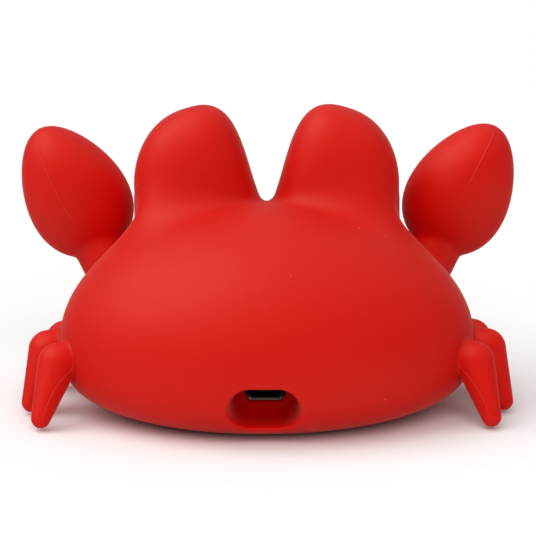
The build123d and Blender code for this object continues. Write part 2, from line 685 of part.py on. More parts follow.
# Switch's slider at the off end of its travel, its lever down through can and cover
with BuildPart() as switch_slider:
    block_bottom = SWITCH_BOTTOM + SWITCH_METAL + SWITCH_PLAY
    block_height = LEDGE_TOP - SWITCH_BASE_THICKNESS - SWITCH_PLAY - block_bottom
    lever_end = COVER_RECESS + LEVER_RECESS
    with Locations((-SWITCH_TRAVEL / 2, SWITCH_Y, lever_end)):
        Box(LEVER_WIDTH, LEVER_DEPTH, block_bottom - lever_end, align=STAND)
    fillet(switch_slider.faces().sort_by(Axis.Z)[0].edges().filter_by(Axis.Y), LEVER_ROUNDING)
    with Locations((-SWITCH_TRAVEL / 2, SWITCH_Y, block_bottom)):
        block_length = can_length - SWITCH_TRAVEL - 2 * SWITCH_PLAY
        Box(block_length, can_width - 2 * SWITCH_PLAY, block_height, align=STAND)

switch_slider.part.label = "switch_slider"
export_step(switch_slider.part, "parts/switch_slider.step")

# Chips on the control board, either side of the battery's pad
with BuildPart() as control_chip:
    with Locations((CONTROL_CHIP_X, BATTERY_Y, BOARD_TOP)):
        add(chip(CONTROL_CHIP_LENGTH, CONTROL_CHIP_WIDTH, CONTROL_CHIP_HEIGHT, CONTROL_CHIP_LEAD_COUNT))

control_chip.part.label = "control_chip"
export_step(control_chip.part, "parts/control_chip.step")

with BuildPart() as charging_chip:
    with Locations((CHARGING_CHIP_X, BATTERY_Y, BOARD_TOP)):
        add(chip(CHARGING_CHIP_LENGTH, CHARGING_CHIP_WIDTH, CHARGING_CHIP_HEIGHT, CHARGING_CHIP_LEAD_COUNT))

charging_chip.part.label = "charging_chip"
export_step(charging_chip.part, "parts/charging_chip.step")

# Row of small resistors and capacitors with metal end caps
with BuildPart() as board_passives:
    cap_offset = PASSIVE_LENGTH - PASSIVE_CAP
    with Locations((0, -PASSIVE_FORWARD, BOARD_TOP)):
        with GridLocations(PASSIVE_PITCH, 0, PASSIVE_COUNT, 1):
            body_width = PASSIVE_WIDTH - 2 * PASSIVE_CAP_PROUD
            Box(PASSIVE_LENGTH, body_width, PASSIVE_HEIGHT - PASSIVE_CAP_PROUD, align=STAND)
            with GridLocations(cap_offset, 0, 2, 1):
                Box(PASSIVE_CAP, PASSIVE_WIDTH, PASSIVE_HEIGHT, align=STAND)

board_passives.part.label = "board_passives"
export_step(board_passives.part, "parts/board_passives.step")

# Pin strip that links the two boards
link_x, link_y = LINK_PLACE
with BuildPart() as link_strip:
    with Locations((link_x, link_y, BOARD_TOP)):
        Box(LINK_COUNT * LINK_PITCH, LINK_STRIP_WIDTH, LINK_STRIP_HEIGHT, align=STAND)
        with GridLocations(LINK_PITCH, 0, LINK_COUNT, 1):
            Box(LINK_PIN, LINK_PIN, LINK_STRIP_HEIGHT, align=STAND, mode=Mode.SUBTRACT)

link_strip.part.label = "link_strip"
export_step(link_strip.part, "parts/link_strip.step")

with BuildPart() as link_pins:
    pin_bottom = LEDGE_TOP - LINK_PIN_TAIL
    with Locations((link_x, link_y, pin_bottom)):
        with GridLocations(LINK_PITCH, 0, LINK_COUNT, 1):
            Box(LINK_PIN, LINK_PIN, LED_BOARD_TOP + LINK_PIN_TAIL - pin_bottom, align=STAND)
    chamfer(link_pins.faces().filter_by(Axis.Z).edges(), LINK_CHAMFER)

link_pins.part.label = "link_pins"
export_step(link_pins.part, "parts/link_pins.step")

# Battery on a foam pad, with its taped end cap and two wires
with BuildPart() as battery_pad:
    with Locations((0, BATTERY_Y, BOARD_TOP)):
        Box(PAD_LENGTH, PAD_WIDTH, PAD_THICKNESS, align=STAND)
    fillet(battery_pad.edges().filter_by(Axis.Z), PAD_CORNER)

battery_pad.part.label = "battery_pad"
export_step(battery_pad.part, "parts/battery_pad.step")

with BuildPart() as battery_cell:
    with Locations((-BATTERY_CAP / 2, BATTERY_Y, BATTERY_BOTTOM)):
        Box(BATTERY_LENGTH - BATTERY_CAP, BATTERY_WIDTH, BATTERY_THICKNESS, align=STAND)
    fillet(battery_cell.edges().filter_by(Axis.X), BATTERY_ROUNDING)
    with Locations(((BATTERY_LENGTH - BATTERY_CAP) / 2, BATTERY_Y, BATTERY_BOTTOM + BATTERY_CAP_STEP)):
        cap_width = BATTERY_WIDTH - 2 * BATTERY_CAP_STEP
        cap_thickness = BATTERY_THICKNESS - 2 * BATTERY_CAP_STEP
        Box(BATTERY_CAP, cap_width, cap_thickness, align=STAND)

battery_cell.part.label = "battery_cell"
export_step(battery_cell.part, "parts/battery_cell.step")

with BuildPart() as battery_lead_positive:
    add(battery_lead(LEAD_BACK))

battery_lead_positive.part.label = "battery_lead_positive"
export_step(battery_lead_positive.part, "parts/battery_lead_positive.step")

with BuildPart() as battery_lead_negative:
    add(battery_lead(LEAD_BACK + LEAD_PITCH))

battery_lead_negative.part.label = "battery_lead_negative"
export_step(battery_lead_negative.part, "parts/battery_lead_negative.step")

# Light board on the housing's columns
with BuildPart() as led_board:
    add(racetrack(BOARD_INSET, LED_BOARD_BOTTOM, LED_BOARD_TOP))
    add(link_holes(LED_BOARD_BOTTOM), mode=Mode.SUBTRACT)
    with Locations(Location((0, 0, LED_BOARD_TOP), (180, 0, 0))):
        with GridLocations(COLUMN_SPACING, 0, 2, 1):
            add(screw_hole(BOARD_THICKNESS), mode=Mode.SUBTRACT)

led_board.part.label = "led_board"
export_step(led_board.part, "parts/led_board.step")

with BuildPart() as led_board_screws:
    with Locations(Location((0, 0, LED_BOARD_TOP), (180, 0, 0))):
        with GridLocations(COLUMN_SPACING, 0, 2, 1):
            add(screw(BOARD_SCREW_LENGTH))

led_board_screws.part.label = "led_board_screws"
export_step(led_board_screws.part, "parts/led_board_screws.step")

# Lights: square packages with a round cup, one corner cut as their mark
with BuildPart() as light:
    Box(LED_SIZE, LED_SIZE, LED_HEIGHT, align=STAND)
    chamfer(light.edges().filter_by(Axis.Z).sort_by(Axis.X)[0], LED_MARK)
    with BuildSketch(Plane.XY.offset(LED_HEIGHT)):
        Circle(LED_LENS_DIAMETER / 2)
    extrude(amount=-LED_LENS_DEPTH, mode=Mode.SUBTRACT)

with BuildPart() as leds:
    with Locations((0, 0, LED_BOARD_TOP)):
        with GridLocations(LED_PITCH_X, LED_PITCH_Y, LED_COLUMN_COUNT, LED_ROW_COUNT):
            add(light.part)

leds.part.label = "leds"
export_step(leds.part, "parts/leds.step")

# Light dome: frosted cover whose skirt clamps the light board and snaps into the housing
with BuildPart() as light_dome:
    add(racetrack(HOUSING_WALL - BEAD_PROUD, BEAD_BOTTOM, BEAD_BOTTOM + BEAD_HEIGHT))
    chamfer(light_dome.edges().group_by(Axis.Z)[0], BEAD_PROUD)
    add(crowned(DOME_INSET, LED_BOARD_TOP, DOME_TOP, DOME_ROUNDING))
    add(racetrack(0, HOUSING_TOP, HOUSING_TOP + DOME_FLANGE))
    hollow_rounding = DOME_ROUNDING - DOME_WALL
    add(crowned(DOME_INSET + DOME_WALL, LED_BOARD_TOP, DOME_TOP - DOME_WALL, hollow_rounding), mode=Mode.SUBTRACT)

light_dome.part.label = "light_dome"
export_step(light_dome.part, "parts/light_dome.step")
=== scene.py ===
import bpy
import numpy as np
from mathutils import Matrix, Vector


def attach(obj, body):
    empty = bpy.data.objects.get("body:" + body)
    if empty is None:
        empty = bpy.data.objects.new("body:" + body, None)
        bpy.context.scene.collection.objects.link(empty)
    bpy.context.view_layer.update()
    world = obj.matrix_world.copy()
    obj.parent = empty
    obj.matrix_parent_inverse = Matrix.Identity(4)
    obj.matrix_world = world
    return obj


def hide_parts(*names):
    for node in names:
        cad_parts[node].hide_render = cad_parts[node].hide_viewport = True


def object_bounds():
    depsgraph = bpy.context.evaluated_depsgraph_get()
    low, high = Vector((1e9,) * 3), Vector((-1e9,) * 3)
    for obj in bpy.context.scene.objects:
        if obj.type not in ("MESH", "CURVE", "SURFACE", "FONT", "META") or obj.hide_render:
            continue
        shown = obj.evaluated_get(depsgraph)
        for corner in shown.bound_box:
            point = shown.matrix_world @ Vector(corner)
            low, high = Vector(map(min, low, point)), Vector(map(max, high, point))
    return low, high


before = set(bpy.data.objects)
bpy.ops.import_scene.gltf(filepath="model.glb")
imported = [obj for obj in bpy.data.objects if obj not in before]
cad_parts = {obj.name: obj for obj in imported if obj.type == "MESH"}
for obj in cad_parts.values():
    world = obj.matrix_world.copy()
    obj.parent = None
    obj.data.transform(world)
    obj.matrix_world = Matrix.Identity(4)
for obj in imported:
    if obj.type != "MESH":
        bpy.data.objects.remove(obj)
cad_low, cad_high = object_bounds()

# Base housing: the white cup inside the crab that carries everything else, injection moulded in ABS.
# The mould's spark-eroded walls leave it a fine grit. The skin's lip grips it at its neck.
MILLIMETRE = 0.001
HOUSING_WHITE = "#E9E8E2"
HOUSING_GRIT_MM = 0.35  # about 0.1 in truth, coarser here so that it shows


def linear(hex_colour):
    """sRGB hex to linear RGBA: each channel over 255, then the inverse of the sRGB curve."""
    coded = np.array([int(hex_colour[i:i + 2], 16) for i in (1, 3, 5)]) / 255
    channels = np.where(coded <= 0.04045, coded / 12.92, ((coded + 0.055) / 1.055) ** 2.4)
    return (*channels.tolist(), 1.0)


def add_node(tree, kind, inputs, **settings):
    """Adds one node, sets its properties, and fills or links its inputs by name or number."""
    node = tree.nodes.new(kind)
    for key, value in settings.items():
        setattr(node, key, value)
    for key, value in inputs.items():
        if isinstance(value, bpy.types.NodeSocket):
            tree.links.new(value, node.inputs[key])
        else:
            node.inputs[key].default_value = value
    return node


def start_material(name, colour, roughness, **sockets):
    """A material whose principled shader has its plain sockets set."""
    finish = bpy.data.materials.new(name)
    finish.use_nodes = True
    shader = finish.node_tree.nodes["Principled BSDF"]
    shader.inputs["Base Color"].default_value = linear(colour)
    shader.inputs["Roughness"].default_value = roughness
    for key, value in sockets.items():
        shader.inputs[key.replace("_", " ")].default_value = value
    return finish


def grain(finish, colour, size_mm, depth_mm, spread):
    """Noise of one grain size: it dents the surface and moves the colour a little either way.

    Returns the place on the piece and the moved colour, for what is drawn over the grain.
    """
    tree = finish.node_tree
    shader = tree.nodes["Principled BSDF"]
    place = add_node(tree, "ShaderNodeTexCoord", {}).outputs["Object"]
    scale = 1 / (size_mm * MILLIMETRE)
    noise = add_node(tree, "ShaderNodeTexNoise", {"Vector": place, "Scale": scale, "Detail": 3.0})
    noise = noise.outputs["Fac"]
    dents = add_node(tree, "ShaderNodeBump", {"Height": noise, "Distance": depth_mm * MILLIMETRE})
    tree.links.new(dents.outputs["Normal"], shader.inputs["Normal"])
    tone = add_node(tree, "ShaderNodeMapRange", {
        "Value": noise, "To Min": 1 - spread, "To Max": 1 + spread,
    })
    tint_inputs = {"Vector": linear(colour)[:3], "Scale": tone.outputs["Result"]}
    tint = add_node(tree, "ShaderNodeVectorMath", tint_inputs, operation="SCALE").outputs["Vector"]
    tree.links.new(tint, shader.inputs["Base Color"])
    return place, tint


def dress(finish, *nodes):
    """Puts one finish on CAD pieces."""
    for node in nodes:
        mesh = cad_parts[node].data
        mesh.materials.clear()
        mesh.materials.append(finish)


# moulded ABS: satin white whose fine grit breaks up the gloss
abs_white = start_material("moulded_abs_white", HOUSING_WHITE, roughness=0.42, IOR=1.53)
grain(abs_white, HOUSING_WHITE, HOUSING_GRIT_MM, depth_mm=0.012, spread=0.03)
dress(abs_white, "base_housing")

# Control board: carries the charging socket, the switch and the chips. A glass-cloth and epoxy sheet
# under green solder mask, dropped on the housing's ledge over two pegs.
MASK_GREEN = "#1E6B3A"
CLOTH_MM = 0.9  # between the cloth's threads, about 0.6 in truth, coarser here so that they show

# solder mask: a glossy deep green, mottled where the cloth shows through
mask_green = start_material("solder_mask_green", MASK_GREEN, roughness=0.28, IOR=1.55)
grain(mask_green, MASK_GREEN, CLOTH_MM, depth_mm=0.006, spread=0.10)
dress(mask_green, "control_board")

# Charging socket's shell and switch's can: folded from thin steel with a tin plate and soldered to the
# board. The socket sits at the board's rear edge and shows at the back of the crab's pocket.
TIN_GREY = "#5E5E5D"
ROLLING_MM = 0.25  # rolling marks, about 0.05 in truth, coarser here so that they show

# tin plate: a dim mirror, a little blurred, that takes on the red of the pocket
tin_plate = start_material("tin_plated_steel", TIN_GREY, roughness=0.24, Metallic=1.0)
grain(tin_plate, TIN_GREY, ROLLING_MM, depth_mm=0.004, spread=0.05)
dress(tin_plate, "charging_socket_shell", "switch_can")

# Socket's tongue, switch's base and lever, chips and pin strip: small black mouldings of glass-filled
# nylon and epoxy. Their metal legs hold them to the board, and the lever slides in the switch's base.
FILLED_BLACK = "#141414"
FILLER_MM = 0.3  # the length of the glass fibres

# filled plastic: near black and dull, with faint flecks of its filler
filled_black = start_material("filled_nylon_black", FILLED_BLACK, roughness=0.55, IOR=1.53)
grain(filled_black, FILLED_BLACK, FILLER_MM, depth_mm=0.010, spread=0.25)
dress(filled_black, "charging_socket_tongue", "switch_base", "switch_slider")
dress(filled_black, "control_chip", "charging_chip", "link_strip")

# Contacts and link pins: the springs in the charging socket and the pins that join the two boards.
# Stamped from bronze strip, gilded, and pressed into their black blocks.
GILT = "#D9B25A"
STAMP_MM = 0.2  # stamping marks, about 0.05 in truth, coarser here so that they show

# gilded bronze: a warm yellow metal with a soft shine
gilt_bronze = start_material("gilded_bronze", GILT, roughness=0.25, Metallic=1.0)
grain(gilt_bronze, GILT, STAMP_MM, depth_mm=0.003, spread=0.06)
dress(gilt_bronze, "charging_socket_contacts", "link_pins")

# Resistors and capacitors: small blocks on the control board, pressed from ceramic powder and fired.
# The solder at their ends holds them down.
CERAMIC_TAN = "#A58A6A"
CERAMIC_MM = 0.25  # the fired grain, a few hundredths in truth, coarser here so that it shows

# fired ceramic: speckled tan with a low gloss
fired_ceramic = start_material("fired_ceramic", CERAMIC_TAN, roughness=0.35, IOR=1.7)
grain(fired_ceramic, CERAMIC_TAN, CERAMIC_MM, depth_mm=0.006, spread=0.12)
dress(fired_ceramic, "board_passives")

# Battery: a flat pouch of aluminium and plastic laminate, heat sealed round its edge. It lies in the
# housing on a strip of foam.
FOIL_SILVER = "#BFC2C4"
FOIL_CREASE_MM = 2.0

# laminate foil: silver, with shallow wrinkles that break its reflections
laminate_foil = start_material("aluminium_foil", FOIL_SILVER, roughness=0.34, Metallic=1.0)
grain(laminate_foil, FOIL_SILVER, FOIL_CREASE_MM, depth_mm=0.05, spread=0.05)
dress(laminate_foil, "battery_cell")

# Battery pad: a strip of closed-cell foam, cut from sheet and glued in place. It gives way when the
# battery swells.
FOAM_GREY = "#6D6E70"
FOAM_CELL_MM = 0.5

# foam: a dry mid grey, pitted by its cells
foam_grey = start_material("closed_cell_foam_grey", FOAM_GREY, roughness=0.9)
grain(foam_grey, FOAM_GREY, FOAM_CELL_MM, depth_mm=0.12, spread=0.18)
dress(foam_grey, "battery_pad")

# Battery wires: stranded copper with soft PVC extruded round it, one red and one black, from the
# battery's end down to the board. Solder holds them at both ends.
PVC_RED = "#B3191B"
PVC_BLACK = "#1B1B1C"
EXTRUSION_MM = 0.3  # flow marks, about 0.1 in truth, coarser here so that they show

# soft PVC: a waxy gloss on full red and on black
pvc_red = start_material("soft_pvc_red", PVC_RED, roughness=0.38, IOR=1.53)
grain(pvc_red, PVC_RED, EXTRUSION_MM, depth_mm=0.006, spread=0.06)
dress(pvc_red, "battery_lead_positive")
pvc_black = start_material("soft_pvc_black", PVC_BLACK, roughness=0.38, IOR=1.53)
grain(pvc_black, PVC_BLACK, EXTRUSION_MM, depth_mm=0.006, spread=0.12)
dress(pvc_black, "battery_lead_negative")

# Light board: the control board's sheet again, under white solder mask. It carries the lights and is
# screwed to the housing's columns.
MASK_WHITE = "#EFEEE8"

# white solder mask: a clean gloss that throws the light up into the dome
mask_white = start_material("solder_mask_white", MASK_WHITE, roughness=0.32, IOR=1.55)
grain(mask_white, MASK_WHITE, CLOTH_MM, depth_mm=0.005, spread=0.03)
dress(mask_white, "led_board")

# Lights: square packages on the light board, soldered by their undersides, whose cups are filled with
# yellow phosphor in clear resin.
PHOSPHOR = "#EFE3AE"
PHOSPHOR_MM = 0.2  # the phosphor's grains, a few hundredths in truth, coarser here so that they show

# phosphor resin: pale yellow with a wet gloss
phosphor_resin = start_material("phosphor_resin", PHOSPHOR, roughness=0.3, IOR=1.5)
grain(phosphor_resin, PHOSPHOR, PHOSPHOR_MM, depth_mm=0.008, spread=0.10)
dress(phosphor_resin, "leds")

# Light dome: frosted polycarbonate blown thin, snapped into the housing's rim. Its frost scatters
# the lights, so nothing shows through it when they are off.
FROST_WHITE = "#F1F0EA"
FROST_MM = 0.25  # the frost's pits, about 0.05 in truth, coarser here so that they show

# frosted polycarbonate: milky white with no clear reflection
frosted_pc = start_material(
    "frosted_polycarbonate", FROST_WHITE, roughness=0.6, IOR=1.58, Transmission_Weight=0.35
)
grain(frosted_pc, FROST_WHITE, FROST_MM, depth_mm=0.02, spread=0.03)
dress(frosted_pc, "light_dome")

# Base cover: the plate under the crab, moulded in the housing's ABS and held by four screws in its
# corners, with a dish for a fingertip round the switch's lever.

# moulded ABS: the housing's white, duller and with a stronger grit, as on a side that takes wear
cover_white = start_material("moulded_abs_cover", HOUSING_WHITE, roughness=0.5, IOR=1.53)
grain(cover_white, HOUSING_WHITE, HOUSING_GRIT_MM, depth_mm=0.02, spread=0.04)
dress(cover_white, "base_cover")

# Screws: they hold the base cover and the light board to the housing. Cold headed from steel wire,
# with rolled threads and a zinc plate.
ZINC_GREY = "#B4B5B8"
ZINC_MM = 0.15  # the plate's crystals, a few hundredths in truth, coarser here so that they show

# zinc plate: a cool light grey with a fine sparkle
zinc_plate = start_material("zinc_plated_steel", ZINC_GREY, roughness=0.33, Metallic=1.0)
grain(zinc_plate, ZINC_GREY, ZINC_MM, depth_mm=0.004, spread=0.08)
dress(zinc_plate, "cover_screws", "led_board_screws")

# Silicone skin: the whole crab, body, eyes, claws and legs, as one soft moulding about 3 mm thick.
# Pigmented silicone rubber from a two-part mould, stretched over the lamp so that its lip grips the
# housing's neck. A pocket in its back leads to the charging socket. Sizes in mm, leans in degrees.
SKIN_WALL = 3.2
EDGE_ROUNDING = 0.5
ALMOST_NOTHING = 1e-9  # keeps a division away from zero


def ease(share):
    """A share from 0 to 1 with a level start and end: three times its square less twice its cube."""
    share = np.clip(share, 0, 1)
    return share ** 2 * (3 - 2 * share)


def soft_union(first, second, blend):
    """The lesser of two distances, eased by a parabola where they differ by less than blend."""
    share = np.clip(0.5 + 0.5 * (second - first) / blend, 0, 1)
    return second + (first - second) * share - blend * share * (1 - share)


def soft_cut(solid, tool, blend):
    """A solid less a tool, its new edges eased by blend: the negative of the union of the outsides."""
    return -soft_union(-solid, tool, blend)


# the body: a dome above its widest line, and below it a roll that turns in to the flat rim
BODY_HALF_WIDTH = 41.9
BODY_HALF_DEPTH = 32.0
BODY_TOP = 41.9
WIDEST_HEIGHT = 14.3
ROLL_FULLNESS = 2.95  # the power of the roll's curve: 2 is an ellipse, more is fuller
BASE_TRIM = 1.1  # how far the roll would go on below the rim
BODY_LEAST_SLOPE = 1 / 60  # a floor under the slope, so that the distance stays bounded


def dome_distance(x, y, z, half_width, half_depth, top, floor):
    """Distance to the body: an ellipsoid above the widest line, a fuller roll to the floor below it.

    The roll is a superellipse. Each level function less one is divided by the length of its slope.
    """
    plan = np.sqrt((x / half_width) ** 2 + (y / half_depth) ** 2) + ALMOST_NOTHING
    reach = np.sqrt(x ** 2 + y ** 2) / plan + ALMOST_NOTHING
    rise = z - WIDEST_HEIGHT
    height = np.where(rise > 0, top - WIDEST_HEIGHT, WIDEST_HEIGHT - floor + BASE_TRIM)
    power = np.where(rise > 0, 2.0, ROLL_FULLNESS)
    share = np.abs(rise) / height
    level = (plan ** power + share ** power) ** (1 / power) + ALMOST_NOTHING
    across = (plan / level) ** (power - 1) / reach
    upward = (share / level) ** (power - 1) / height
    outside = (level - 1) / np.maximum(np.hypot(across, upward), BODY_LEAST_SLOPE)
    return -soft_union(-outside, z - floor, EDGE_ROUNDING)


# the eyes: two tall lobes that lean outwards and bend back in, each on a thick root, with a tight
# valley between them and a wide soft slope behind them
EYE_CENTRE = (14.2, -11.5, 40.6)
EYE_LEAN = 16.5
EYE_HALF_SIZES = (12.2, 10.25, 18.9)
EYE_BEND = -0.285  # sideways shift of the ends, in half widths
EYE_FULLNESS = 2.5
EYE_ROOT = (15.4, -11.5, 28.0)
EYE_ROOT_TOP = 41.0
EYE_ROOT_RADIUS = 11.7
EYE_BLEND = 4.0
REAR_BLEND = 8.0  # added to the eyes' blend behind them
VALLEY_BLEND = 2.2
VALLEY_REACH = 27.0  # from the middle to where the blend is at its widest
VALLEY_ROUNDING = 0.8
EGG_REACH = 1.2  # how far a taper or a bend goes on, in half lengths from the middle
EGG_LEAST_SLOPE = 1 / 40  # a floor under an egg's slope, as for the body


def egg_distance(x, y, z, centre, lean, half_sizes, taper, bend, fullness):
    """Distance to an egg that leans about Y, narrows by taper to its top and bends sideways.

    Its level function, a superellipsoid, less one is divided by the length of that function's slope.
    """
    turn = np.radians(lean)
    rise = (x - centre[0]) * np.sin(turn) + (z - centre[2]) * np.cos(turn)
    share = rise / half_sizes[2]
    held_share = np.clip(share, -EGG_REACH, EGG_REACH)
    width = half_sizes[0] * (1 - taper * held_share)
    across = (x - centre[0]) * np.cos(turn) - (z - centre[2]) * np.sin(turn)
    u = np.abs(across - bend * half_sizes[0] * held_share ** 2) / width
    v = np.abs(y - centre[1]) / half_sizes[1]
    w = np.abs(share)
    level = (u ** fullness + v ** fullness + w ** fullness) ** (1 / fullness) + ALMOST_NOTHING
    slope = [(part / level) ** (fullness - 1) / size for part, size in zip((u, v, w), half_sizes)]
    steepness = np.sqrt(slope[0] ** 2 + slope[1] ** 2 + slope[2] ** 2)
    return (level - 1) / np.maximum(steepness, EGG_LEAST_SLOPE)


def limb_distance(x, y, z, start, end, start_radius, end_radius):
    """Distance to a round limb: a ball at each end and the cone that touches both."""
    first = np.array(start)
    run = np.array(end) - first
    length = np.sqrt(run @ run)
    gap = [value - origin for value, origin in zip((x, y, z), first)]
    along = sum(part * step for part, step in zip(gap, run)) / length
    aside = np.sqrt(np.maximum(sum(part ** 2 for part in gap) - along ** 2, 0))
    lean = (start_radius - end_radius) / length
    upright = np.sqrt(1 - lean ** 2)
    foot = along * upright - aside * lean
    side = aside * upright + along * lean - start_radius
    near_ball = np.hypot(aside, along) - start_radius
    far_ball = np.hypot(aside, along - length) - end_radius
    return np.where(foot < 0, near_ball, np.where(foot > upright * length, far_ball, side))


def lobe_distance(side, y, z, half_sizes):
    """Distance to an eye's lobe: a full egg of even width, bent in at both ends."""
    return egg_distance(
        side, y, z, EYE_CENTRE, EYE_LEAN, half_sizes, taper=0, bend=EYE_BEND, fullness=EYE_FULLNESS
    )


def root_distance(side, y, z):
    """Distance to an eye's root: an upright limb as deep as the eye that it carries."""
    deep = EYE_ROOT[1] + (y - EYE_ROOT[1]) * EYE_ROOT_RADIUS / EYE_HALF_SIZES[1]
    top = (*EYE_ROOT[:2], EYE_ROOT_TOP)
    return limb_distance(side, deep, z, EYE_ROOT, top, EYE_ROOT_RADIUS, EYE_ROOT_RADIUS)


# the claws: eggs with their small ends up and outwards, each on a short arm beside the eyes
CLAW_CENTRE = (40.25, -20.0, 41.2)
CLAW_LEAN = 28.0
CLAW_HALF_SIZES = (10.5, 9.0, 14.6)
CLAW_TAPER = 0.22  # share of the width lost from the middle to the tip
ARM_ROOT = (27.9, -14.0, 17.0)
ARM_END = (35.7, -19.6, 31.6)
ARM_RADIUS = 5.6
CLAW_BLEND = 0.6
ARM_BLEND = 1.2


def claw_distance(x, y, z):
    """Distance to either claw: an egg that narrows to its top."""
    return egg_distance(
        np.abs(x), y, z, CLAW_CENTRE, CLAW_LEAN, CLAW_HALF_SIZES, taper=CLAW_TAPER, bend=0, fullness=2
    )


# the legs: three on each side, given by root, knee and toe, that taper from the knee to a blunt tip
LEGS = (
    ((34.3, 7.0, 13.5), (41.5, 11.0, 12.6), (44.7, 16.2, 2.55)),
    ((36.9, -1.5, 13.6), (44.3, 0.8, 12.6), (47.7, 4.4, 2.55)),
    ((34.4, -9.0, 13.5), (41.9, -11.4, 11.5), (44.9, -15.8, 2.55)),
)
LEG_ROOT_RADIUS = 3.9
KNEE_RADIUS = 4.0
TOE_RADIUS = 1.95
LEG_BLEND = 0.3


def leg_distance(x, y, z, leg):
    """Distance to a leg: the nearer of its thigh and its shin."""
    root, knee, toe = leg
    thigh = limb_distance(x, y, z, root, knee, LEG_ROOT_RADIUS, KNEE_RADIUS)
    shin = limb_distance(x, y, z, knee, toe, KNEE_RADIUS, TOE_RADIUS)
    return np.minimum(thigh, shin)


def crab_distance(x, y, z):
    """Distance to the crab's outside: body, eyes, arms, claws and legs run softly together."""
    side = np.abs(x)
    crab = dome_distance(x, y, z, BODY_HALF_WIDTH, BODY_HALF_DEPTH, BODY_TOP, floor=0)
    lobe = lobe_distance(np.hypot(x, VALLEY_ROUNDING), y, z, EYE_HALF_SIZES)
    eye = np.minimum(lobe, root_distance(side, y, z))
    rear = ease((y - EYE_CENTRE[1]) / EYE_HALF_SIZES[1])
    eye_blend = VALLEY_BLEND + (EYE_BLEND + REAR_BLEND * rear - VALLEY_BLEND) * ease(side / VALLEY_REACH)
    crab = soft_union(crab, eye, eye_blend)
    arm = limb_distance(side, y, z, ARM_ROOT, ARM_END, ARM_RADIUS, ARM_RADIUS)
    claw = soft_union(claw_distance(x, y, z), arm, CLAW_BLEND)
    crab = soft_union(crab, claw, ARM_BLEND)
    for leg in LEGS:
        crab = soft_union(crab, leg_distance(side, y, z, leg), LEG_BLEND)
    return crab


# the inside: a hollow for the lamp, open below, where the seat takes the housing and the lip grips it
MODULE_HALF_LENGTH = 22.0
MODULE_HALF_WIDTH = 17.0
SEAT_INSET = 1.2
LIP_INSET = 3.5
LIP_BOTTOM = 2.3
LIP_TOP = 4.3

# the pocket: a bar with half-round ends in the crab's back, and in its floor the slot for the socket
POCKET_HALF_WIDTH = 7.1
POCKET_HALF_HEIGHT = 4.55
POCKET_HEIGHT = 7.95
POCKET_FLOOR = 18.5
POCKET_INNER_FACE = 17.3
POCKET_WALL = 2.4
POCKET_RIM = 1.0
POCKET_CORNER = 4.0
POCKET_DRAFT = 0.1  # drawn in per millimetre of depth
POCKET_MOUTH = 29.5
SLOT_HEIGHT = 8.35
SLOT_HALF_WIDTH = 4.15
SLOT_LOWER_HALF = 3.2
SLOT_HALF_HEIGHT = 1.65
SLOT_OVERRUN = 1.0  # past the wall on both sides, so that the slot goes right through


def bar_distance(across, rise, half_length, half_width):
    """Distance in the plane to a bar with half-round ends."""
    return np.hypot(np.maximum(np.abs(across) - (half_length - half_width), 0), rise) - half_width


def block_distance(outline, level, low, high, blend):
    """Distance to a block: an outline carried from one level to another, its ends eased by blend."""
    ends = np.abs(level - (low + high) / 2) - (high - low) / 2
    return -soft_union(-outline, -ends, blend)


def hollow_distance(x, y, z):
    """Distance to the hollow: body and eyes drawn in by the wall, less the tunnel round the pocket."""
    body_inside = [size - SKIN_WALL for size in (BODY_HALF_WIDTH, BODY_HALF_DEPTH, BODY_TOP)]
    lobe_inside = [size - SKIN_WALL for size in EYE_HALF_SIZES]
    hollow = dome_distance(x, y, z, *body_inside, floor=LIP_TOP)
    lobe = lobe_distance(np.abs(x), y, z, lobe_inside)
    hollow = soft_union(hollow, np.maximum(lobe, LIP_TOP - z), EDGE_ROUNDING)
    tunnel_half = [size + POCKET_WALL for size in (POCKET_HALF_WIDTH, POCKET_HALF_HEIGHT)]
    tunnel = bar_distance(x, z - POCKET_HEIGHT, *tunnel_half)
    return soft_cut(hollow, np.maximum(tunnel, POCKET_INNER_FACE - y), EDGE_ROUNDING)


def seat_distance(x, y, z):
    """Distance to the room for the lamp's foot: the seat below the lip and the neck through it."""
    seat = bar_distance(x, y, MODULE_HALF_LENGTH - SEAT_INSET, MODULE_HALF_WIDTH - SEAT_INSET)
    neck = bar_distance(x, y, MODULE_HALF_LENGTH - LIP_INSET, MODULE_HALF_WIDTH - LIP_INSET)
    seat = block_distance(seat, z, -LIP_BOTTOM, LIP_BOTTOM, EDGE_ROUNDING)
    neck = block_distance(neck, z, 0, LIP_TOP + EDGE_ROUNDING, EDGE_ROUNDING)
    return np.minimum(seat, neck)


def pocket_distance(x, y, z):
    """Distance to the pocket: a bar's outline that narrows inwards by its draft, to a rounded floor."""
    drawn_in = POCKET_DRAFT * np.clip(POCKET_MOUTH - y, 0, POCKET_MOUTH - POCKET_FLOOR)
    pocket = bar_distance(x, z - POCKET_HEIGHT, POCKET_HALF_WIDTH, POCKET_HALF_HEIGHT) + drawn_in
    return block_distance(pocket, y, POCKET_FLOOR, 2 * BODY_HALF_DEPTH, POCKET_CORNER)


def slot_distance(x, y, z):
    """Distance to the socket's slot: the farthest of its flat sides, of which the lower two slant."""
    side = np.abs(x)
    rise = z - SLOT_HEIGHT
    narrowing = SLOT_HALF_WIDTH - SLOT_LOWER_HALF
    lower_side = (side - SLOT_HALF_WIDTH) * SLOT_HALF_HEIGHT - rise * narrowing
    slot = np.maximum(side - SLOT_HALF_WIDTH, np.abs(rise) - SLOT_HALF_HEIGHT)
    slot = np.maximum(slot, lower_side / np.hypot(SLOT_HALF_HEIGHT, narrowing))
    ends = np.maximum(POCKET_INNER_FACE - SLOT_OVERRUN - y, y - POCKET_FLOOR - SLOT_OVERRUN)
    return np.maximum(slot, ends)


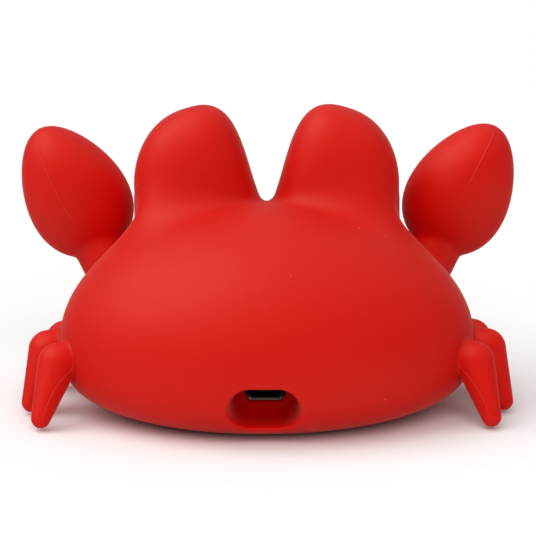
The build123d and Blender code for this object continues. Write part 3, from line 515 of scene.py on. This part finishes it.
def skin_distance(x, y, z):
    """Distance to the silicone: the crab's outside less its hollow, lamp seat, pocket and slot."""
    room = np.minimum(hollow_distance(x, y, z), seat_distance(x, y, z))
    skin = soft_cut(crab_distance(x, y, z), room, EDGE_ROUNDING)
    skin = soft_cut(skin, pocket_distance(x, y, z), POCKET_RIM)
    return soft_cut(skin, slot_distance(x, y, z), EDGE_ROUNDING / 2)


# the mesh: the skin's zero level on a grid, in stretches of start, end and spacing that are fine at the
# claws, legs, eye valley, pocket and rim
GRID_ACROSS = ((-52.5, -33, 0.5), (-33, -9, 0.9), (-9, 9, 0.45), (9, 33, 0.9), (33, 52.5, 0.5))
GRID_BACK = ((-33, 3, 0.85), (3, 18, 0.6), (18, 33, 0.5))
GRID_UP = ((-0.9, 16.5, 0.5), (16.5, 61.5, 0.9))
SLOPE_PROBE = 0.02
LEAST_SQUARED_SLOPE = 0.05
LONGEST_STEP = 0.3


def grid_line(stretches):
    """Grid places along an axis, from stretches of start, end and spacing that follow each other."""
    parts = [np.linspace(a, b, round((b - a) / step), endpoint=False) for a, b, step in stretches]
    return np.append(np.concatenate(parts), stretches[-1][1])


def edge_crossings(values, axes, axis):
    """Which grid edges along an axis a zero level crosses, which of them start inside, and where."""
    near = [slice(None)] * 3
    far = [slice(None)] * 3
    near[axis] = slice(None, -1)
    far[axis] = slice(1, None)
    low, high = values[tuple(near)], values[tuple(far)]
    crossed = (low < 0) != (high < 0)
    share = np.where(crossed, low / np.where(crossed, low - high, 1), 0)
    starts = [line[:-1] if i == axis else line for i, line in enumerate(axes)]
    spots = np.meshgrid(*starts, indexing="ij")
    step = np.diff(axes[axis]).reshape([-1 if i == axis else 1 for i in range(3)])
    spots[axis] = spots[axis] + share * step
    return crossed, low < 0, spots


def level_surface(values, axes):
    """Points and quads of a field's zero level on a grid with its own spacing along each axis.

    Each grid cell that the level crosses gets one point, at the mean of the crossings on the cell's
    edges. Each grid edge that it crosses gets one quad, through the four cells round it.
    """
    cells = tuple(count - 1 for count in values.shape)
    sums = np.zeros((*cells, 3))
    counts = np.zeros(cells)
    crossings = [edge_crossings(values, axes, axis) for axis in range(3)]
    for axis, (crossed, _, spots) in enumerate(crossings):
        others = [i for i in range(3) if i != axis]
        for first, second in ((0, 0), (0, 1), (1, 0), (1, 1)):
            window = [slice(None)] * 3
            window[others[0]] = slice(first, cells[others[0]] + first)
            window[others[1]] = slice(second, cells[others[1]] + second)
            hits = crossed[tuple(window)]
            counts += hits
            for i in range(3):
                sums[..., i] += np.where(hits, spots[i][tuple(window)], 0)
    active = counts > 0
    number = np.full(cells, -1)
    number[active] = np.arange(active.sum())
    points = sums[active] / counts[active][:, None]
    quads = []
    for axis, (crossed, starts_inside, _) in enumerate(crossings):
        first, second = (axis + 1) % 3, (axis + 2) % 3
        inner = [slice(None)] * 3
        inner[first] = slice(1, -1)
        inner[second] = slice(1, -1)
        edges = np.argwhere(crossed[tuple(inner)])
        edges[:, first] += 1
        edges[:, second] += 1
        ring = []
        for back_first, back_second in ((1, 1), (0, 1), (0, 0), (1, 0)):
            cell = edges.copy()
            cell[:, first] -= back_first
            cell[:, second] -= back_second
            ring.append(number[tuple(cell.T)])
        ring = np.stack(ring, 1)
        flip = ~starts_inside[tuple(edges.T)]
        ring[flip] = ring[flip][:, ::-1]
        quads.append(ring)
    return points, np.concatenate(quads)


def slope_of(points, distance):
    """Slope of a field at points, from its values a little to each side along X, Y and Z."""
    probes = SLOPE_PROBE * np.eye(3)
    rises = [distance(*(points + probe).T) - distance(*(points - probe).T) for probe in probes]
    return np.stack(rises, 1) / (2 * SLOPE_PROBE)


def settle(points, distance, steps):
    """Moves points onto a field's zero level along its slope, a little at a time."""
    for _ in range(steps):
        slope = slope_of(points, distance)
        squared = np.maximum((slope ** 2).sum(1), LEAST_SQUARED_SLOPE)
        moves = np.clip(distance(*points.T) / squared, -LONGEST_STEP, LONGEST_STEP)
        points = points - slope * moves[:, None]
    return points


def put_mesh(name, points, faces):
    """A smooth mesh object in place, from points in millimetres and faces of equal size."""
    mesh = bpy.data.meshes.new(name)
    mesh.from_pydata(points * MILLIMETRE, [], faces.tolist())
    mesh.shade_smooth()
    piece = bpy.data.objects.new(name, mesh)
    bpy.context.scene.collection.objects.link(piece)
    return piece


axes = [grid_line(stretches) for stretches in (GRID_ACROSS, GRID_BACK, GRID_UP)]
field = skin_distance(*np.meshgrid(*axes, indexing="ij"))
skin_points, skin_quads = level_surface(field, axes)
skin_points = settle(skin_points, skin_distance, steps=4)
skin_points = np.clip(skin_points, np.array(cad_low) / MILLIMETRE, np.array(cad_high) / MILLIMETRE)
skin = put_mesh("crab_skin", skin_points, skin_quads)

# silicone rubber: saturated red and dull, with a fine grit from the mould, a bloom at grazing angles
# and a few specks of the dust that silicone picks up
SILICONE_RED = "#CB0200"
SHINE_CREAM = "#FFF0CE"
BLOOM_PEACH = "#FFDCC4"
SILICONE_ROUGHNESS = 0.52
GLOW_DEPTH_MM = 3.0
MOULD_GRIT_MM = 0.5  # about 0.1 in truth, coarser here so that it shows
MOULD_GRIT_DEPTH_MM = 0.02
MOULD_GRIT_SPREAD = 0.02
SILICONE_SOCKETS = dict(
    IOR=1.41, Specular_IOR_Level=0.54, Specular_Tint=linear(SHINE_CREAM), Sheen_Weight=0.2,
    Sheen_Roughness=0.3, Sheen_Tint=linear(BLOOM_PEACH),
)
silicone_red = start_material(
    "silicone_rubber_red", SILICONE_RED, SILICONE_ROUGHNESS,
    Subsurface_Weight=0.5, Subsurface_Scale=GLOW_DEPTH_MM * MILLIMETRE, **SILICONE_SOCKETS
)
place, tint = grain(silicone_red, SILICONE_RED, MOULD_GRIT_MM, MOULD_GRIT_DEPTH_MM, MOULD_GRIT_SPREAD)
tree = silicone_red.node_tree

# the dust: pale specks at some of a set of scattered spots, each full to half its radius
DUST_PALE = "#E58B80"
DUST_SPACING_MM = 4.5
DUST_RADIUS_MM = 0.2
DUST_SHARE = 0.4
MIX_SHARE, MIX_FIRST, MIX_SECOND, MIX_RESULT = 0, 6, 7, 2  # a Mix node's sockets when it mixes colours
dust_scale = 1 / (DUST_SPACING_MM * MILLIMETRE)
dust_edge = DUST_RADIUS_MM / DUST_SPACING_MM
dust = add_node(tree, "ShaderNodeTexVoronoi", {"Vector": place, "Scale": dust_scale})
speck = add_node(tree, "ShaderNodeMapRange", {
    "Value": dust.outputs["Distance"], "From Min": dust_edge, "From Max": dust_edge / 2,
})
chosen = add_node(tree, "ShaderNodeSeparateColor", {"Color": dust.outputs["Color"]})
kept = add_node(tree, "ShaderNodeMath", {
    0: chosen.outputs["Red"], 1: 1 - DUST_SHARE,
}, operation="GREATER_THAN")
speck = add_node(tree, "ShaderNodeMath", {
    0: speck.outputs["Result"], 1: kept.outputs["Value"],
}, operation="MULTIPLY")
dusty = add_node(tree, "ShaderNodeMix", {
    MIX_SHARE: speck.outputs["Value"], MIX_FIRST: tint, MIX_SECOND: linear(DUST_PALE),
}, data_type="RGBA")

# the eyes' pad print: a plain black oval on the front of each eye, guessed because the photograph
# shows the crab from behind
PRINT_BLACK = "#120F10"
PRINT_CENTRE_MM = (15.6, 49.0)
PRINT_HALF_MM = (4.3, 6.0)
PRINT_EDGE = 0.02
spot = add_node(tree, "ShaderNodeSeparateXYZ", {"Vector": place})
beside = add_node(tree, "ShaderNodeMath", {0: spot.outputs["X"]}, operation="ABSOLUTE")
squares = []
measures = (beside.outputs["Value"], spot.outputs["Z"])
for measure, centre, half in zip(measures, PRINT_CENTRE_MM, PRINT_HALF_MM):
    share = add_node(tree, "ShaderNodeMapRange", {
        "Value": measure, "From Min": centre * MILLIMETRE, "From Max": (centre + half) * MILLIMETRE,
    }, clamp=False)
    square = add_node(tree, "ShaderNodeMath", {0: share.outputs["Result"], 1: 2.0}, operation="POWER")
    squares.append(square.outputs["Value"])
oval = add_node(tree, "ShaderNodeMath", {0: squares[0], 1: squares[1]}, operation="ADD")
ink = add_node(tree, "ShaderNodeMapRange", {
    "Value": oval.outputs["Value"], "From Min": 1 + PRINT_EDGE, "From Max": 1 - PRINT_EDGE,
})
front = add_node(tree, "ShaderNodeMath", {
    0: spot.outputs["Y"], 1: EYE_CENTRE[1] * MILLIMETRE,
}, operation="LESS_THAN")
ink = add_node(tree, "ShaderNodeMath", {
    0: ink.outputs["Result"], 1: front.outputs["Value"],
}, operation="MULTIPLY")
printed = add_node(tree, "ShaderNodeMix", {
    MIX_SHARE: ink.outputs["Value"], MIX_FIRST: dusty.outputs[MIX_RESULT], MIX_SECOND: linear(PRINT_BLACK),
}, data_type="RGBA")
tree.links.new(printed.outputs[MIX_RESULT], tree.nodes["Principled BSDF"].inputs["Base Color"])
skin.data.materials.append(silicone_red)
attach(skin, "lamp")
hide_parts("silicone_skin")

# Parting lines: the hair of flash that the mould's two halves leave round each leg and over the tip of
# each claw, fading out lower down. The same silicone as the skin, in one piece with it.
FLASH_RADIUS = 0.17
FLASH_SINK = 0.09
FADED_SINK = 0.3  # deeper than its radius, so that nothing shows
CLAW_PARTING_TURNS = (11.0, -3.0)  # degrees, for the claw at +X and the one at -X
CLAW_PARTING_FADES = ((-0.25, -0.8), (0.25, -0.2))  # from and to, in half heights of the claw
LEG_PARTING_SIDE = (-0.25, 1.0, 0.2)


def claw_seam(outward_turn, fade, count):
    """A loop round a claw in the plane of its long axis, turned from the rear a little outwards.

    With it goes how deep the flash is sunk, more and more between two shares of the claw's height.
    """
    lean, turn = np.radians([CLAW_LEAN, outward_turn])
    axis = np.array([np.sin(lean), 0, np.cos(lean)])
    outward = np.array([np.cos(lean), 0, -np.sin(lean)])
    rearward = np.array([0, np.cos(turn), 0]) + np.sin(turn) * outward
    angle = np.linspace(0, 2 * np.pi, count, endpoint=False)[:, None]
    half_depth, half_length = CLAW_HALF_SIZES[1:]
    loop = CLAW_CENTRE + half_length * np.cos(angle) * axis + half_depth * np.sin(angle) * rearward
    sinks = np.interp(-np.cos(angle[:, 0]), np.negative(fade), (FLASH_SINK, FADED_SINK))
    return loop, sinks


def leg_seam(leg, count):
    """A loop down a leg's rear and up its front, along a parabola from the thigh to the toe."""
    root, knee, toe = np.array(leg)
    share = np.linspace(0, 1, count // 2)[:, None]
    line = (1 - share) ** 2 * (root + knee) / 2 + 2 * share * (1 - share) * knee + share ** 2 * toe
    rear = np.array(LEG_PARTING_SIDE)
    front = rear * (1, -1, 1)
    tip = toe + (toe - knee) / np.linalg.norm(toe - knee) * TOE_RADIUS
    return np.concatenate([line + rear * TOE_RADIUS, tip[None], line[::-1] + front * TOE_RADIUS])


def leg_field(leg):
    """The distance to one leg, on either side, as a field of its own."""
    return lambda x, y, z: leg_distance(np.abs(x), y, z, leg)


def flash_tube(path, sinks, distance, sides):
    """A closed thin tube along a loop that is first laid on a field's level, each point sunk a little."""
    path = settle(path, lambda x, y, z: distance(x, y, z) + sinks, steps=12)
    upward = slope_of(path, distance)
    along = np.roll(path, -1, 0) - np.roll(path, 1, 0)
    beside = np.cross(upward, along)
    beside /= np.linalg.norm(beside, axis=1, keepdims=True)
    upward = np.cross(along, beside)
    upward /= np.linalg.norm(upward, axis=1, keepdims=True)
    angle = np.linspace(0, 2 * np.pi, sides, endpoint=False)[None, :, None]
    around = np.cos(angle) * upward[:, None] + np.sin(angle) * beside[:, None]
    rings = path[:, None] + FLASH_RADIUS * around
    number = np.arange(len(path) * sides).reshape(len(path), sides)
    ahead = np.roll(number, -1, 0)
    corners = [number, ahead, np.roll(ahead, -1, 1), np.roll(number, -1, 1)]
    return rings.reshape(-1, 3), np.stack(corners, -1).reshape(-1, 4)


seams = []
for mirror, outward_turn, fade in zip((1, -1), CLAW_PARTING_TURNS, CLAW_PARTING_FADES):
    loop, sinks = claw_seam(outward_turn, fade, count=120)
    seams.append((loop * (mirror, 1, 1), sinks, claw_distance))
    for leg in LEGS:
        seams.append((leg_seam(leg, count=80) * (mirror, 1, 1), FLASH_SINK, leg_field(leg)))
flash_points = []
flash_quads = []
points_so_far = 0
for loop, sinks, distance in seams:
    points, quads = flash_tube(loop, sinks, distance, sides=6)
    flash_points.append(points)
    flash_quads.append(quads + points_so_far)
    points_so_far += len(points)
flash = put_mesh("parting_lines", np.concatenate(flash_points), np.concatenate(flash_quads))

# silicone flash: the skin's red a shade paler, a painted highlight of the light on its fine ridge
FLASH_PAINTED_HIGHLIGHT = "#D21812"
flash_painted_highlight = start_material(
    "silicone_flash_painted_highlight", FLASH_PAINTED_HIGHLIGHT, SILICONE_ROUGHNESS, **SILICONE_SOCKETS
)
grain(flash_painted_highlight, FLASH_PAINTED_HIGHLIGHT, MOULD_GRIT_MM, MOULD_GRIT_DEPTH_MM, MOULD_GRIT_SPREAD)
flash.data.materials.append(flash_painted_highlight)
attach(flash, "lamp")

# Studio: a wide pale floor, kept out of the skin's gloss, in air that is dim at the horizon and bright
# overhead. A large soft light stands high on the picture's left and a lower fill behind the camera,
# which is the photograph's: low behind the crab, with a long lens.
FLOOR_WHITE = "#F7F7F6"
FLOOR_HALF = 4.0
corners = np.array([(-1, -1, 0), (1, -1, 0), (1, 1, 0), (-1, 1, 0)]) * FLOOR_HALF / MILLIMETRE
floor = put_mesh("studio_floor", corners, np.array([[0, 1, 2, 3]]))

# floor paint: matte off-white that takes a soft shadow
floor_paint = start_material("matte_floor_paint", FLOOR_WHITE, roughness=0.9)
floor.data.materials.append(floor_paint)
floor.visible_glossy = False

# the air: its light grows from the horizon's to the ceiling's with the height of the direction
HORIZON_LIGHT = 0.06
CEILING_LIGHT = 0.78
HORIZON_HEIGHT = 0.12
AIR_WHITE = (1.0, 1.0, 1.0, 1.0)
world = bpy.data.worlds.new("studio_air")
world.use_nodes = True
tree = world.node_tree
air = tree.nodes["Background"]
air.inputs["Color"].default_value = AIR_WHITE
direction = add_node(tree, "ShaderNodeTexCoord", {})
height = add_node(tree, "ShaderNodeSeparateXYZ", {"Vector": direction.outputs["Generated"]})
ceiling = add_node(tree, "ShaderNodeMapRange", {
    "Value": height.outputs["Z"], "From Min": HORIZON_HEIGHT,
    "To Min": HORIZON_LIGHT, "To Max": CEILING_LIGHT,
})
tree.links.new(ceiling.outputs["Result"], air.inputs["Strength"])
bpy.context.scene.world = world

# the lights: directions that they shine from, and spreads in radians
KEY_ENERGY = 1.50
KEY_SPREAD = 1.1
KEY_FROM = (0.60, 0.15, 0.78)
FILL_ENERGY = 1.30
FILL_SPREAD = 0.8
FILL_FROM = (-0.10, 0.80, 0.58)


def add_softbox(name, energy, spread, from_direction):
    """A large soft light that shines from a direction, spread over an angle in radians."""
    light = bpy.data.lights.new(name, "SUN")
    light.energy = energy
    light.angle = spread
    holder = bpy.data.objects.new(name, light)
    holder.rotation_euler = Vector(from_direction).to_track_quat("Z", "Y").to_euler()
    bpy.context.scene.collection.objects.link(holder)
    return holder


add_softbox("key_softbox", KEY_ENERGY, KEY_SPREAD, KEY_FROM)
fill = add_softbox("fill_softbox", FILL_ENERGY, FILL_SPREAD, FILL_FROM)
fill.visible_glossy = False

# the camera: it aims a little beside the target, so that the target lands on its own pixel of the
# photograph. Sizes are in metres, and a pixel is as large as it is at the target.
CAMERA_TARGET = (0.0, 0.0, 0.016)
CAMERA_DISTANCE = 0.620
CAMERA_ELEVATION = 14.56
CAMERA_AZIMUTH = -1.3
CAMERA_ROLL = -0.58
TARGET_PIXEL = (266.8, 331.5)
IMAGE_PIXELS = 536
PIXEL_SIZE = 0.0002024
SENSOR_WIDTH = 36.0
turn, tilt, roll = np.radians([CAMERA_AZIMUTH, CAMERA_ELEVATION, CAMERA_ROLL])
back = Vector((np.sin(turn) * np.cos(tilt), np.cos(turn) * np.cos(tilt), np.sin(tilt)))
level_right = Vector((-np.cos(turn), np.sin(turn), 0))
level_up = back.cross(level_right)
right = level_right * np.cos(roll) + level_up * np.sin(roll)
up = level_up * np.cos(roll) - level_right * np.sin(roll)
lens_spot = Vector(CAMERA_TARGET) + back * CAMERA_DISTANCE
middle = IMAGE_PIXELS / 2
aside = (middle - TARGET_PIXEL[0]) * right + (TARGET_PIXEL[1] - middle) * up
aim = Vector(CAMERA_TARGET) + PIXEL_SIZE * aside
view = (lens_spot - aim).normalized()
view_right = up.cross(view).normalized()
view_up = view.cross(view_right)
camera_lens = bpy.data.cameras.new("long_lens")
camera_lens.sensor_width = SENSOR_WIDTH
camera_lens.lens = SENSOR_WIDTH * (lens_spot - aim).length / (IMAGE_PIXELS * PIXEL_SIZE)
camera = bpy.data.objects.new("camera", camera_lens)
camera.matrix_world = Matrix((
    (view_right.x, view_up.x, view.x, lens_spot.x),
    (view_right.y, view_up.y, view.y, lens_spot.y),
    (view_right.z, view_up.z, view.z, lens_spot.z),
    (0, 0, 0, 1),
))
bpy.context.scene.collection.objects.link(camera)
bpy.context.scene.camera = camera
bpy.context.scene.view_settings.view_transform = "Standard"
